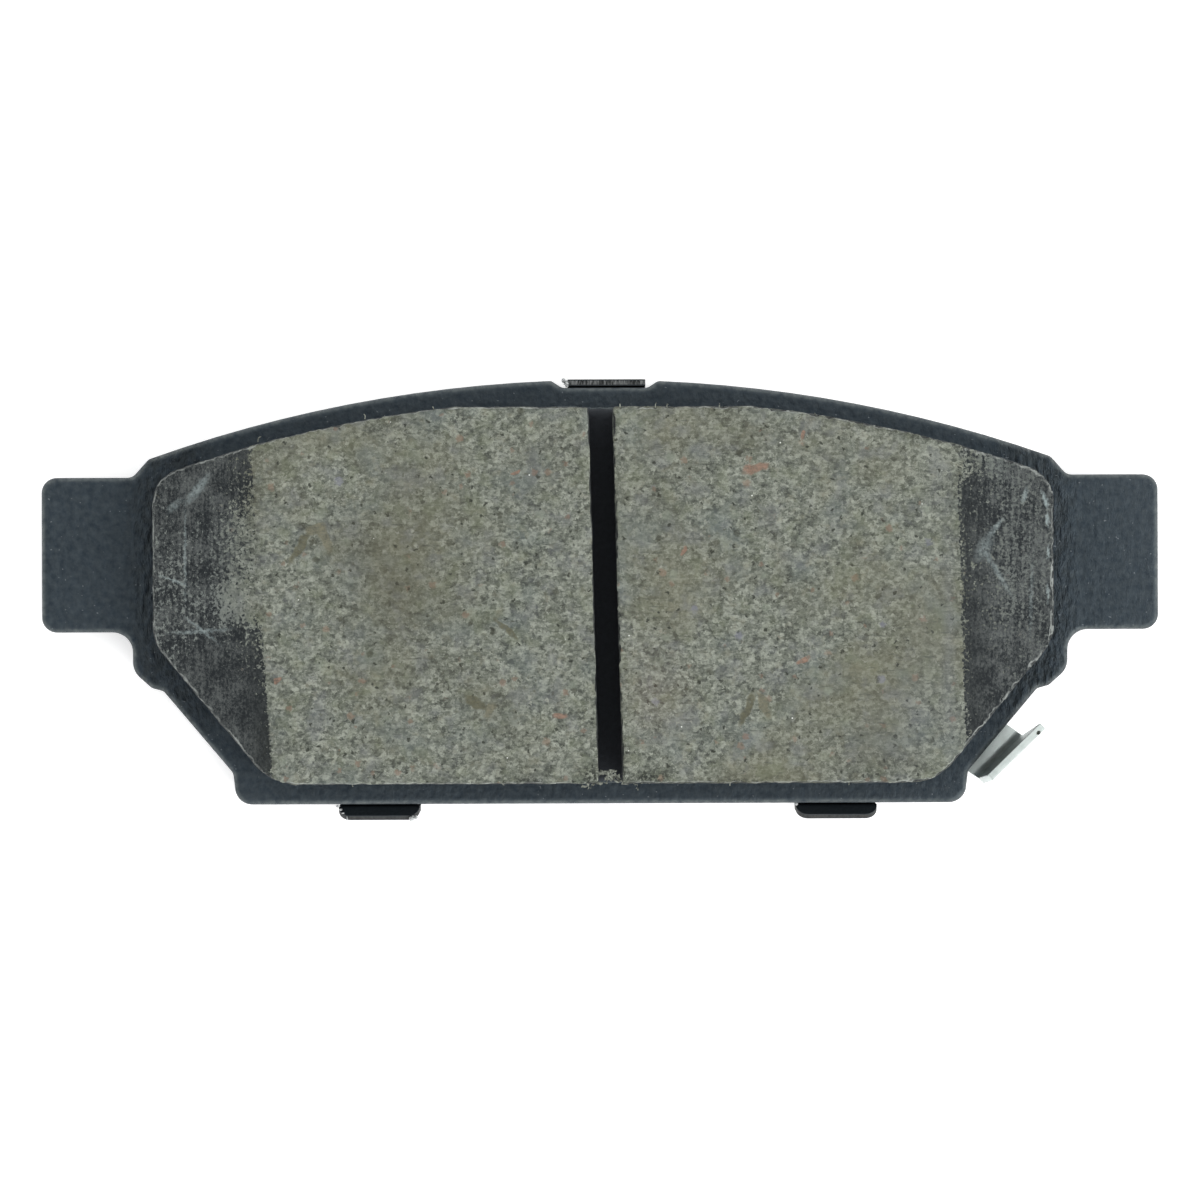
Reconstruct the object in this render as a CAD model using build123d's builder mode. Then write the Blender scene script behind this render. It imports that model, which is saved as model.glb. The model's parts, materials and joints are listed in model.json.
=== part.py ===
from build123d import *
import os
from math import atan2, cos, degrees, dist, radians, sin, sqrt, tan

# A disc brake pad for a small rear caliper, lying on its back with the friction side up.
# X runs along the pad, Y points away from the wheel's axle, and Z runs from the caliper's
# piston to the rotor. The origin is on the piston's axis, at the back of the shim.
# All sizes are in millimetres.

# Backing plate: blanked steel, with an ear at each end that slides in the caliper bracket.
pad_length = 110.0
plate_thickness = 5.0
apex_above_axis = 21.7
bottom_below_axis = 20.05
arc_radius = 132.4
ear_length = 8.95
ear_height = 15.25
ear_corner_radius = 1.5
ear_root_top_radius = 1.1
ear_root_bottom_radius = 2.0
shoulder_run = 1.6
shoulder_drop = 1.8
shoulder_radius = 1.0
front_edge_radius = 0.6
back_edge_radius = 0.35

# Below each ear the plate has a rounded lug, a slanted side and a short upright foot.
lug_depth = 3.85
lug_side_radius = 2.0
lug_slope_run = 1.85
lug_slope_drop = 1.65
lug_end_radius = 0.9
lug_step_run = 1.15
lug_step_drop = 0.3
slant_top_radius = 0.7
slant_run = 6.85
slant_foot_radius = 1.0
foot_height = 3.1
foot_run = 0.35
foot_corner_radius = 1.7

# Notch in the top edge, where the shim's top tab folds over the plate.
notch_shift = 0.55
notch_floor_width = 8.45
notch_side_run = 1.2
notch_depth = 0.78
notch_corner_radius = 0.7

# Lining: a bonded underlayer that fills two holes in the plate, and two friction blocks on it.
lining_margins = {"top": 2.2, "side": 2.3, "slant": 2.6, "foot": 2.3}
lining_flat_drop = 3.0
lining_shift = 0.3
lining_top_radius = 3.4
lining_side_radius = 4.0
lining_foot_radius = 5.5
bond_thickness = 0.15
underlayer_thickness = 1.6
friction_thickness = 7.75
bonding_hole_radius = 5.0
bonding_hole_pitch = 42.0
slot_width = 2.3
slot_shift = 0.55
slot_tilt = 1.4

# The outer end of each friction block is ground down at a shallow angle.
ramp_angle = 14.0
ramp_length = {"left": 10.8, "right": 9.3}
ramp_tilt = {"left": 3.4, "right": 1.6}

# Shim: a steel sheet between two rubber coats, clipped to the plate by three bent tabs.
rubber_thickness = 0.12
sheet_thickness = 0.4
shim_margins = {"top": 1.3, "side": 1.3, "slant": 1.3, "foot": 1.3}
shim_shift = 0.7
shim_corner_radius = 3.0
tab_gap = 0.2
tab_relief_radius = 0.6
top_tab_width = 7.7
top_tab_below_face = 0.8
top_tab_corner_radius = 0.5
foot_tab_width = 8.0
foot_tab_pitch = 45.15
foot_tab_below_face = 0.9
foot_tab_corner_radius = 1.2
lip_angle = 45.0
lip_length = 1.0
lip_bend_radius = 0.8

# Wear indicator: a spring-steel strip, riveted into a pocket in the plate's back. It comes out
# past the slanted side and is bent up towards the rotor, which it touches when the lining is
# worn down to wear_limit.
wear_limit = 2.0
strip_width = 6.0
strip_thickness = 0.75
strip_bend_radius = 0.8
strip_corner_radius = 0.25
strip_hole_clearance = 0.1
leg_gap = 1.78
leg_along_slant = 3.2
leg_flare_outer = 0.95
leg_flare_inner = 0.35
bend_line_skew = 5.5
strip_skew = 10.7
rivet_from_leg = 7.3
pocket_depth = 0.8
pocket_clearance = 0.2
shim_cutout_clearance = 1.2
rivet_radius = 1.5
rivet_depth = 3.7
rivet_tip_gap = 0.3
rivet_head_radius = 2.5
rivet_head_thickness = 0.6
rivet_head_edge_radius = 0.3

# Sizes that follow from the ones above.
shim_thickness = sheet_thickness + 2 * rubber_thickness
tab_bend_radius = back_edge_radius + tab_gap
plate_back = shim_thickness
plate_front = plate_back + plate_thickness
underlayer_base = plate_front + bond_thickness
friction_base = underlayer_base + underlayer_thickness
friction_face = friction_base + friction_thickness
arc_centre_y = apex_above_axis - arc_radius
body_half_width = pad_length / 2 - ear_length
far_away = 2 * pad_length


def arc_height(x):
    """Height of the plate's curved top edge above the piston's axis, at x."""
    return arc_centre_y + sqrt(arc_radius**2 - x**2)


# Corners of the right half of the plate, from the top edge round to the bottom edge.
shoulder_x = body_half_width - shoulder_run
ear_top = arc_height(shoulder_x) - shoulder_drop
ear_bottom = ear_top - ear_height
shoulder = (shoulder_x, arc_height(shoulder_x))
ear_root_top = (body_half_width, ear_top)
ear_tip_top = (pad_length / 2, ear_top)
ear_tip_bottom = (pad_length / 2, ear_bottom)
ear_root_bottom = (body_half_width, ear_bottom)
lug_side = (body_half_width, ear_bottom - lug_depth)
lug_end = (lug_side[0] - lug_slope_run, lug_side[1] - lug_slope_drop)
slant_top = (lug_end[0] - lug_step_run, lug_end[1] - lug_step_drop)
slant_foot = (slant_top[0] - slant_run, foot_height - bottom_below_axis)
foot_corner = (slant_foot[0] - foot_run, -bottom_below_axis)
corner_radii = {
    shoulder: shoulder_radius,
    ear_root_top: ear_root_top_radius,
    ear_tip_top: ear_corner_radius,
    ear_tip_bottom: ear_corner_radius,
    ear_root_bottom: ear_root_bottom_radius,
    lug_side: lug_side_radius,
    lug_end: lug_end_radius,
    slant_top: slant_top_radius,
    slant_foot: slant_foot_radius,
    foot_corner: foot_corner_radius,
}

# Directions in the plate's plane, as angles from +X: along the slanted side, along the
# indicator's bend line, and along its strip, outwards from the rivet.
slant_angle = degrees(atan2(slant_top[1] - slant_foot[1], slant_top[0] - slant_foot[0]))
bend_line_angle = slant_angle - bend_line_skew
strip_angle = bend_line_angle - 90 + strip_skew


def step(start, angle, length):
    """The point at a distance from start, in a direction given in degrees from +X."""
    return (start[0] + length * cos(radians(angle)), start[1] + length * sin(radians(angle)))


leg_foot = step(step(slant_foot, slant_angle, leg_along_slant), slant_angle - 90, leg_gap)
rivet_centre = step(leg_foot, strip_angle, -rivet_from_leg)
strip_top = plate_back + pocket_depth
strip_back = strip_top - strip_thickness
indicator_tip = plate_front + wear_limit


def corners_at(sketch, point):
    """The vertices of a sketch at a point and at its mirror image."""
    return [v for v in sketch.vertices() if dist((abs(v.X), v.Y), point) < 0.01]


def body_outline(margins, flat_drop, top_radius, side_radius, foot_radius):
    """The plate's body without its ears, drawn in by margins, with a flat top and round corners."""
    half_width = body_half_width - margins["side"]
    foot = margins["foot"] - bottom_below_axis
    with BuildSketch() as outline:
        with Locations((0, foot)):
            Rectangle(
                2 * half_width,
                apex_above_axis - flat_drop - foot,
                align=(Align.CENTER, Align.MIN),
            )
        with Locations((0, arc_centre_y)):
            Circle(arc_radius - margins["top"], mode=Mode.INTERSECT)
        slant_corner = step(slant_foot, slant_angle + 90, margins["slant"])
        for side in (1, -1):
            slant_point = (side * slant_corner[0], slant_corner[1], 0)
            with Locations(Location(slant_point, (0, 0, side * slant_angle))):
                Rectangle(
                    far_away, far_away, align=(Align.CENTER, Align.MAX), mode=Mode.SUBTRACT
                )
        rows = outline.vertices().group_by(Axis.Y)
        for row, radius in zip(rows, (foot_radius, side_radius, top_radius)):
            fillet(corners_at(outline, (abs(row[0].X), row[0].Y)), radius)
    return outline.sketch


def strip_outline(clearance):
    """The wear indicator's flat base, grown by a clearance, running on past the bend."""
    with BuildSketch() as outline:
        with Locations(rivet_centre):
            Circle(strip_width / 2 + clearance)
        with Locations(Location((*rivet_centre, 0), (0, 0, strip_angle))):
            Rectangle(
                2 * rivet_from_leg,
                strip_width + 2 * clearance,
                align=(Align.MIN, Align.CENTER),
            )
    return outline.sketch


lining_outline = Pos(lining_shift, 0) * body_outline(
    lining_margins,
    lining_flat_drop,
    lining_top_radius,
    lining_side_radius,
    lining_foot_radius,
)
bonding_holes = GridLocations(bonding_hole_pitch, 1, 2, 1)

# Backing plate.
with BuildPart() as backing_plate:
    with BuildSketch(Plane.XY.offset(plate_back)) as plate_outline:
        with BuildLine():
            ThreePointArc(
                (0, apex_above_axis), (shoulder_x / 2, arc_height(shoulder_x / 2)), shoulder
            )
            Polyline(*corner_radii, (0, -bottom_below_axis))
            mirror(about=Plane.YZ)
        make_face()
        for corner, radius in corner_radii.items():
            fillet(corners_at(plate_outline, corner), radius)
        notch_floor = apex_above_axis - notch_depth
        notch_slope = notch_side_run / notch_depth
        half_floor = notch_floor_width / 2
        half_mouth = half_floor + 2 * notch_depth * notch_slope
        with Locations((notch_shift, notch_floor)):
            Polygon(
                (-half_floor, 0),
                (half_floor, 0),
                (half_mouth, 2 * notch_depth),
                (-half_mouth, 2 * notch_depth),
                align=None,
                mode=Mode.SUBTRACT,
            )
        notch_corners = plate_outline.vertices().filter_by_position(
            Axis.X, notch_shift - half_mouth, notch_shift + half_mouth
        )
        above_floor = notch_corners.filter_by_position(
            Axis.Y, notch_floor - notch_depth, apex_above_axis
        )
        fillet(above_floor, notch_corner_radius)
    extrude(amount=plate_thickness)
    fillet(backing_plate.faces().sort_by(Axis.Z)[-1].edges(), front_edge_radius)
    fillet(backing_plate.faces().sort_by(Axis.Z)[0].edges(), back_edge_radius)
    with BuildSketch(Plane.XY.offset(plate_back)):
        with bonding_holes:
            Circle(bonding_hole_radius)
    extrude(amount=plate_thickness, mode=Mode.SUBTRACT)
    with BuildSketch(Plane.XY.offset(plate_back)):
        add(strip_outline(pocket_clearance))
    extrude(amount=pocket_depth, mode=Mode.SUBTRACT)
    with BuildSketch(Plane.XY.offset(strip_back)):
        with Locations(rivet_centre):
            Circle(rivet_radius)
    extrude(amount=rivet_depth + rivet_tip_gap, mode=Mode.SUBTRACT)

# Bond film between the plate and the lining.
with BuildPart() as bond_film:
    with BuildSketch(Plane.XY.offset(plate_front)):
        add(lining_outline)
        with bonding_holes:
            Circle(bonding_hole_radius, mode=Mode.SUBTRACT)
    extrude(amount=bond_thickness)

# Underlayer, with the two plugs that fill the plate's bonding holes.
with BuildPart() as underlayer:
    with BuildSketch(Plane.XY.offset(underlayer_base)):
        add(lining_outline)
    extrude(amount=underlayer_thickness)
    with BuildSketch(Plane.XY.offset(plate_back)):
        with bonding_holes:
            Circle(bonding_hole_radius)
    extrude(amount=underlayer_base - plate_back)


def friction_block(side):
    """One friction block, cut off at the slot and ground to a ramp at its outer end."""
    sign = {"left": -1, "right": 1}[side]
    inner_edge = slot_shift + sign * slot_width / 2 / cos(radians(slot_tilt))
    lining_end = body_half_width - lining_margins["side"]
    ramp_start = lining_shift + sign * (lining_end - ramp_length[side])
    with BuildPart() as block:
        with BuildSketch(Plane.XY.offset(friction_base)):
            add(lining_outline)
            with Locations(Location((inner_edge, 0, 0), (0, 0, slot_tilt))):
                inner = Align.MIN if sign > 0 else Align.MAX
                Rectangle(far_away, far_away, align=(inner, Align.CENTER), mode=Mode.INTERSECT)
        extrude(amount=friction_thickness)
        ramp_run = ramp_length[side] * 2
        outwards = Vector(sign, 0, 0).rotate(Axis.Z, ramp_tilt[side])
        ramp_plane = Plane(
            (ramp_start, 0, friction_face), x_dir=outwards, z_dir=outwards.cross(Vector(0, 0, 1))
        )
        with BuildSketch(ramp_plane):
            Polygon(
                (0, 0),
                (ramp_run, -ramp_run * tan(radians(ramp_angle))),
                (ramp_run, friction_thickness),
                (0, friction_thickness),
                align=None,
            )
        extrude(amount=far_away, both=True, mode=Mode.SUBTRACT)
    return block.part


friction_blocks = {side: friction_block(side) for side in ("left", "right")}


def bent_tab(wall, top, width, corner_radius, flared, layer_back, layer_thickness):
    """One layer of a shim tab that runs out along +X and bends up beside the plate's edge, to a
    height called top. The wall is where the tab's plate side stands, and a flared tab ends in
    an outward lip."""
    depth = plate_back - layer_back - layer_thickness / 2
    lean = radians(lip_angle) if flared else 0
    lip = lip_length if flared else 0
    lip_turn = lip_bend_radius if flared else 0
    knee = top - lip_turn * sin(lean) - lip * cos(lean)
    tip = (wall + lip_turn * (1 - cos(lean)) + lip * sin(lean), 0, top)
    with BuildPart() as tab:
        with BuildSketch(Plane.XZ):
            with BuildLine():
                base = Line((0, plate_back - depth), (wall - tab_bend_radius, plate_back - depth))
                bend = JernArc(base @ 1, base % 1, tab_bend_radius + depth, 90)
                upright = Line(bend @ 1, (wall + depth, knee))
                if flared:
                    flare = JernArc(
                        upright @ 1, upright % 1, lip_bend_radius - depth, -lip_angle
                    )
                    PolarLine(flare @ 1, lip_length, direction=flare % 1)
            trace(line_width=layer_thickness)
        extrude(amount=width / 2, both=True)
        lip_plane = Plane(tip, x_dir=(0, 1, 0), z_dir=(cos(lean), 0, -sin(lean)))
        with BuildSketch(lip_plane):
            RectangleRounded(width, far_away, corner_radius, align=(Align.CENTER, Align.MAX))
        extrude(amount=far_away, both=True, mode=Mode.INTERSECT)
    return tab.part


def shim_layer(layer_back, layer_thickness):
    """One layer of the shim: a flat sheet with a cut-off corner and three bent tabs."""
    top_wall = apex_above_axis - notch_depth + tab_gap
    foot_wall = bottom_below_axis + tab_gap
    layer = (layer_back, layer_thickness)
    top_tab = bent_tab(
        top_wall,
        plate_front - top_tab_below_face,
        top_tab_width,
        top_tab_corner_radius,
        False,
        *layer,
    )
    foot_tab = bent_tab(
        foot_wall,
        plate_front - foot_tab_below_face,
        foot_tab_width,
        foot_tab_corner_radius,
        True,
        *layer,
    )
    with BuildPart() as sheet:
        with BuildSketch(Plane.XY.offset(layer_back)):
            add(shim_blank.sketch)
        extrude(amount=layer_thickness)
        add(Pos(shim_shift, 0) * Rot(0, 0, 90) * top_tab)
        for place in GridLocations(foot_tab_pitch, 1, 2, 1):
            add(Pos(shim_shift, 0) * place * Rot(0, 0, -90) * foot_tab)
    return sheet.part


# The sheet's outline stops short of the rivet and the strip, and has a small round relief on
# both sides of each tab.
with BuildSketch() as strip_corner:
    room = strip_width / 2 + shim_cutout_clearance
    with Locations((rivet_centre[0] - room, 0)):
        Rectangle(far_away, far_away, align=(Align.MIN, Align.CENTER))
    with Locations(Location((*step(rivet_centre, strip_angle + 90, room), 0), (0, 0, strip_angle))):
        Rectangle(far_away, far_away, align=(Align.CENTER, Align.MAX), mode=Mode.INTERSECT)
    fillet(strip_corner.vertices().sort_by_distance((*rivet_centre, 0))[0], shim_corner_radius)

with BuildSketch() as shim_blank:
    add(
        Pos(shim_shift, 0)
        * body_outline(shim_margins, 0, shim_corner_radius, shim_corner_radius, shim_corner_radius)
    )
    add(strip_corner.sketch, mode=Mode.SUBTRACT)
    with Locations((shim_shift, apex_above_axis - shim_margins["top"])):
        with GridLocations(top_tab_width + 2 * tab_relief_radius, 1, 2, 1):
            Circle(tab_relief_radius, mode=Mode.SUBTRACT)
    with Locations((shim_shift, shim_margins["foot"] - bottom_below_axis)):
        with GridLocations(foot_tab_pitch, 1, 2, 1):
            with GridLocations(foot_tab_width + 2 * tab_relief_radius, 1, 2, 1):
                Circle(tab_relief_radius, mode=Mode.SUBTRACT)

shim_layers = {
    "shim_rubber_outer": shim_layer(0, rubber_thickness),
    "shim_sheet": shim_layer(rubber_thickness, sheet_thickness),
    "shim_rubber_inner": shim_layer(rubber_thickness + sheet_thickness, rubber_thickness),
}

# Wear indicator: the flat base, the bend, and the leg, which leans because the bend line isn't
# square to the strip.
outwards = Vector(1, 0, 0).rotate(Axis.Z, bend_line_angle - 90)
along_bend = Vector(1, 0, 0).rotate(Axis.Z, bend_line_angle)
bend_plane = Plane((*leg_foot, strip_top), x_dir=outwards, z_dir=-along_bend)
leg_plane = Plane((*leg_foot, strip_top), x_dir=along_bend, z_dir=outwards)
leg_half_width = strip_width / 2 / cos(radians(strip_skew))
leg_height = indicator_tip - strip_top
leg_lean = (leg_height - strip_bend_radius) * tan(radians(strip_skew))

with BuildPart() as wear_indicator:
    with BuildSketch(bend_plane):
        with BuildLine():
            base = Line(
                (-2 * rivet_from_leg, -strip_thickness / 2),
                (-strip_bend_radius, -strip_thickness / 2),
            )
            JernArc(base @ 1, base % 1, strip_bend_radius + strip_thickness / 2, 90)
        trace(line_width=strip_thickness)
    extrude(amount=far_away, both=True)
    with BuildSketch(Plane.XY.offset(strip_back)):
        add(strip_outline(0))
    extrude(amount=plate_thickness, mode=Mode.INTERSECT)
    with BuildSketch(leg_plane) as leg:
        Polygon(
            (-leg_half_width, strip_bend_radius),
            (leg_half_width, strip_bend_radius),
            (leg_half_width + leg_lean + leg_flare_outer, leg_height),
            (-leg_half_width + leg_lean - leg_flare_inner, leg_height),
            align=None,
        )
        fillet(leg.vertices().group_by(Axis.Y)[-1], strip_corner_radius)
    extrude(amount=strip_thickness)
    with Locations((*rivet_centre, strip_top)):
        Hole(rivet_radius + strip_hole_clearance, depth=strip_thickness)

# Rivet that holds the indicator: a low head under the strip and a shank in the plate's blind hole.
with BuildPart() as wear_indicator_rivet:
    with BuildSketch(Plane.XY.offset(strip_back - rivet_head_thickness)):
        with Locations(rivet_centre):
            Circle(rivet_head_radius)
    extrude(amount=rivet_head_thickness)
    fillet(
        wear_indicator_rivet.faces().sort_by(Axis.Z)[0].edges(), rivet_head_edge_radius
    )
    with BuildSketch(Plane.XY.offset(strip_back)):
        with Locations(rivet_centre):
            Circle(rivet_radius)
    extrude(amount=rivet_depth)

pieces = {
    "backing_plate": backing_plate.part,
    "bond_film": bond_film.part,
    "underlayer": underlayer.part,
    "friction_block_left": friction_blocks["left"],
    "friction_block_right": friction_blocks["right"],
    **shim_layers,
    "wear_indicator": wear_indicator.part,
    "wear_indicator_rivet": wear_indicator_rivet.part,
}
os.makedirs("parts", exist_ok=True)
for name, piece in pieces.items():
    piece.label = name
    export_step(piece, f"parts/{name}.step")
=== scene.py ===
import json
import math
import random

import bpy
import numpy as np
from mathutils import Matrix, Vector, noise

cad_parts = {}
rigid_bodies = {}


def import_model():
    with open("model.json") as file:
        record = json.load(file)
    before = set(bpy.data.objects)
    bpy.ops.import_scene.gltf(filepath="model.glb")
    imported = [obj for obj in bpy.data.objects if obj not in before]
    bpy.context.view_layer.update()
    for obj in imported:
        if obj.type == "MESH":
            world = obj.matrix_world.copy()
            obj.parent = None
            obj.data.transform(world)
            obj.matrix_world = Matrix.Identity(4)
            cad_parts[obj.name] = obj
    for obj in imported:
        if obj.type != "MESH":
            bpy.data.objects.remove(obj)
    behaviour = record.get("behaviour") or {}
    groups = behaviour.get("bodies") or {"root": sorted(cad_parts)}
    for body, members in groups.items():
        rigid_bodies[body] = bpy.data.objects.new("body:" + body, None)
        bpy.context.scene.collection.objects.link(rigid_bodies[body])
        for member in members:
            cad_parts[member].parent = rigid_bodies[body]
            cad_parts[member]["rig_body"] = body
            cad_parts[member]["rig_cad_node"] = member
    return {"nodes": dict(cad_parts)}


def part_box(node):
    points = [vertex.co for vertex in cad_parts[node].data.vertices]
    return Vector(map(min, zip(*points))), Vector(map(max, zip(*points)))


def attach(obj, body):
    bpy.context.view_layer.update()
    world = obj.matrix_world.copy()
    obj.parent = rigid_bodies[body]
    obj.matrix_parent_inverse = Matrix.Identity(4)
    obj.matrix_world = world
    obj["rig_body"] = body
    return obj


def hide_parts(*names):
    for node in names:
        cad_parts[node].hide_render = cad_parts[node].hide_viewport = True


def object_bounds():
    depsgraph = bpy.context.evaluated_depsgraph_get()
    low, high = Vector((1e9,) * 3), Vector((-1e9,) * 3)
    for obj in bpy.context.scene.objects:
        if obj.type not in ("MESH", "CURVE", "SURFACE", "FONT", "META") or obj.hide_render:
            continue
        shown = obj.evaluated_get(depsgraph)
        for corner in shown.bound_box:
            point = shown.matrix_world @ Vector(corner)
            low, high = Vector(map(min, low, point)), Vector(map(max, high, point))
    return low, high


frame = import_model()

cad_box = [list(corner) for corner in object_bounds()]

# Backing plate. Blanked from 5 mm steel and powder-coated blue-black with the lining already on
# it, so the coat is smooth on the ears and coarse beside the lining, and thin on the edges. Its
# colour also holds painted shade beside the lining, a painted highlight on the edges, and painted
# light on the long edges and the right ear.
def add(material, kind, inputs=None, output=0, **settings):
    """Adds a shader node, with its inputs given a value or a link, and returns an output."""
    node = material.node_tree.nodes.new(kind)
    for key, value in settings.items():
        setattr(node, key, value)
    for key, value in (inputs or {}).items():
        if isinstance(value, bpy.types.NodeSocket):
            material.node_tree.links.new(value, node.inputs[key])
        else:
            node.inputs[key].default_value = value
    return node.outputs[output]


def start_material(name, metallic=0.0, specular=0.5):
    """A new material, and its places in millimetres."""
    material = bpy.data.materials.new(name)
    material.use_nodes = True
    shader = material.node_tree.nodes["Principled BSDF"]
    shader.inputs["Metallic"].default_value = metallic
    shader.inputs["Specular IOR Level"].default_value = specular
    place = add(material, "ShaderNodeTexCoord", output="Object")
    place = add(material, "ShaderNodeVectorMath", {0: place, "Scale": 1000.0}, operation="SCALE")
    return material, place


def grain(material, place, size, detail=2.0, roughness=0.5, stretch=(1, 1, 1), shift=0.0):
    """Noise from 0 to 1 with features of about that size in millimetres, drawn out by stretch."""
    scale = tuple(1 / (size * s) for s in stretch)
    moved = add(
        material, "ShaderNodeMapping", {"Vector": place, "Location": (shift,) * 3, "Scale": scale}
    )
    inputs = {"Vector": moved, "Scale": 1.0, "Detail": detail, "Roughness": roughness}
    return add(material, "ShaderNodeTexNoise", inputs)


def ease(material, value, low, high):
    """0 below low, 1 above high, and a straight rise between them."""
    return add(material, "ShaderNodeMapRange", {0: value, 1: low, 2: high, 3: 0.0, 4: 1.0})


def reckon(material, operation, first, second):
    """One arithmetic operation on two numbers or outputs."""
    return add(material, "ShaderNodeMath", {0: first, 1: second}, operation=operation)


def times(material, first, second):
    """The product of two numbers or outputs."""
    return reckon(material, "MULTIPLY", first, second)


def plus(material, first, second):
    """The sum of two numbers or outputs."""
    return reckon(material, "ADD", first, second)


def minus(material, first, second):
    """What is left of the first number or output without the second."""
    return reckon(material, "SUBTRACT", first, second)


def blend(material, share, first, second):
    """A colour between two colours, which are outputs or (r, g, b)."""
    first, second = (
        c if isinstance(c, bpy.types.NodeSocket) else (*c, 1.0) for c in (first, second)
    )
    return add(
        material, "ShaderNodeMix", {0: share, 6: first, 7: second}, output=2, data_type="RGBA"
    )


def tinge(material, colour, mask, share, tint):
    """The colour, taken towards a tint by that share of a mask."""
    return blend(material, times(material, mask, share), colour, tint)


def finish_material(material, colour, roughness, height, depth):
    """Links a colour, a roughness and a height, with that full depth in mm, to the shader."""
    bump = add(
        material, "ShaderNodeBump", {"Height": height, "Strength": 1.0, "Distance": depth / 1000}
    )
    shader = material.node_tree.nodes["Principled BSDF"]
    for name, output in (("Base Color", colour), ("Roughness", roughness), ("Normal", bump)):
        material.node_tree.links.new(output, shader.inputs[name])
    return material


def upward(material):
    """How far the surface faces up or down: 1 on a flat face, 0 on an upright edge."""
    normal = add(material, "ShaderNodeTexCoord", output="Normal")
    height = add(material, "ShaderNodeSeparateXYZ", {0: normal}, output="Z")
    return reckon(material, "ABSOLUTE", height, 0.0)


def band(material, value, low, high, blur):
    """1 between low and high, and 0 from blur beyond them."""
    rise = ease(material, value, low - blur, low)
    return minus(material, rise, ease(material, value, high, high + blur))


def near_lining(material, place, reach):
    """1 beside the lining's two ends, and little beyond that reach in mm and along its middle."""
    inside = 3.0
    outside = 0.8
    least = 0.22
    low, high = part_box("underlayer")
    middle = tuple((low + high) * 500)
    half = (high - low) * 500
    offset = add(material, "ShaderNodeVectorMath", {0: place, 1: middle}, operation="SUBTRACT")
    offset = add(material, "ShaderNodeVectorMath", {0: offset}, operation="ABSOLUTE")
    along = add(material, "ShaderNodeSeparateXYZ", {0: offset}, output="X")
    beside = band(material, along, half.x - inside, half.x + outside, reach - outside)
    return reckon(material, "MAXIMUM", beside, least)


def powder_coat(coarse_and_shade_share=None):
    """Blue-black polyester powder: orange peel, dust, and thin on the edges, where it also has a
    painted highlight. Painted light makes it paler towards the long edges and on the right ear.

    Without a coarse and shade share of its own it is coarse, and painted darker as painted shade,
    only beside the lining's ends.
    """
    coarse_reach = 4.2
    material, place = start_material("powder_coat", specular=0.33)
    shader = material.node_tree.nodes["Principled BSDF"]
    shader.inputs["Specular Tint"].default_value = (0.72, 0.90, 1.0, 1.0)
    peel = grain(material, place, 0.7, detail=4.0, roughness=0.6)
    lumps = grain(material, place, 0.55, detail=3.0, roughness=0.6, stretch=(1, 2.2, 1), shift=7.0)
    shear = grain(material, place, 0.3, detail=3.0, stretch=(1, 1, 9), shift=4.0)
    clouds = grain(material, place, 9.0, detail=4.0)
    dust = ease(material, grain(material, place, 0.25, detail=0.0, shift=3.0), 0.82, 0.87)
    coarse_and_shaded = coarse_and_shade_share
    if coarse_and_shaded is None:
        coarse_and_shaded = near_lining(material, place, coarse_reach)
    away = add(material, "ShaderNodeVectorMath", {0: place}, operation="ABSOLUTE")
    away = add(material, "ShaderNodeSeparateXYZ", {0: away}, output="Y")
    along = add(material, "ShaderNodeSeparateXYZ", {0: place}, output="X")
    # Painted light: the coat is painted paler towards the long edges and on the right ear, for the
    # light that falls there.
    painted_light_long_edges = ease(material, away, 16.0, 19.0)
    painted_light_right_ear = ease(material, along, 44.0, 54.0)
    dust_and_painted_light = reckon(material, "MAXIMUM", painted_light_long_edges, painted_light_right_ear)
    facing = upward(material)
    edge = band(material, facing, 0.45, 0.85, 0.2)
    side = minus(material, 1.0, ease(material, facing, 0.1, 0.4))

    deep = (0.0060, 0.0110, 0.0180)
    pale = (0.0120, 0.0185, 0.0270)
    colour = blend(material, ease(material, clouds, 0.3, 0.7), deep, pale)
    # Painted shade: the coat's hollows beside the lining's ends are painted near-black.
    hollow_shade = times(material, coarse_and_shaded, ease(material, lumps, 0.58, 0.46))
    colour = blend(material, ease(material, peel, 0.35, 0.7), colour, (0.018, 0.026, 0.035))
    # Painted light: the paler tint towards the long edges and on the right ear.
    colour = tinge(material, colour, dust_and_painted_light, 0.13, (0.045, 0.052, 0.060))
    # Painted shade: the coat is painted darker beside the lining's ends, in the shade of the
    # lining's walls; the same mask also makes the coat coarse there.
    colour = tinge(material, colour, coarse_and_shaded, 0.45, (0.004, 0.006, 0.011))
    colour = tinge(material, colour, hollow_shade, 0.9, (0.001, 0.002, 0.004))
    colour = blend(material, dust, colour, (0.10, 0.11, 0.12))
    # Thin coat and painted highlight: the edges are painted paler, partly where the coat runs thin
    # and partly for the light they catch.
    thin_coat_and_highlight = times(material, edge, ease(material, peel, 0.25, 0.75))
    colour = blend(material, thin_coat_and_highlight, colour, (0.085, 0.094, 0.092))
    roughness = add(material, "ShaderNodeMapRange", {0: clouds, 1: 0.3, 2: 0.7, 3: 0.40, 4: 0.55})
    height = times(material, peel, 0.5)
    height = plus(material, height, times(material, lumps, times(material, coarse_and_shaded, 3.0)))
    height = plus(material, height, times(material, shear, side))
    return finish_material(material, colour, roughness, height, 0.16)


coat = powder_coat()
frame["nodes"]["backing_plate"].data.materials.clear()
frame["nodes"]["backing_plate"].data.materials.append(coat)

# Lining: two friction blocks of resin, minerals, fibre and metal chips, moulded on to the plate
# and ground flat on the face. The slot, the sides and the ramps at the ends keep the black skin
# of the mould and the coat, and on the ramps it is scuffed.
face_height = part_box("friction_block_left")[1].z
block_voxel = 0.00024


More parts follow.
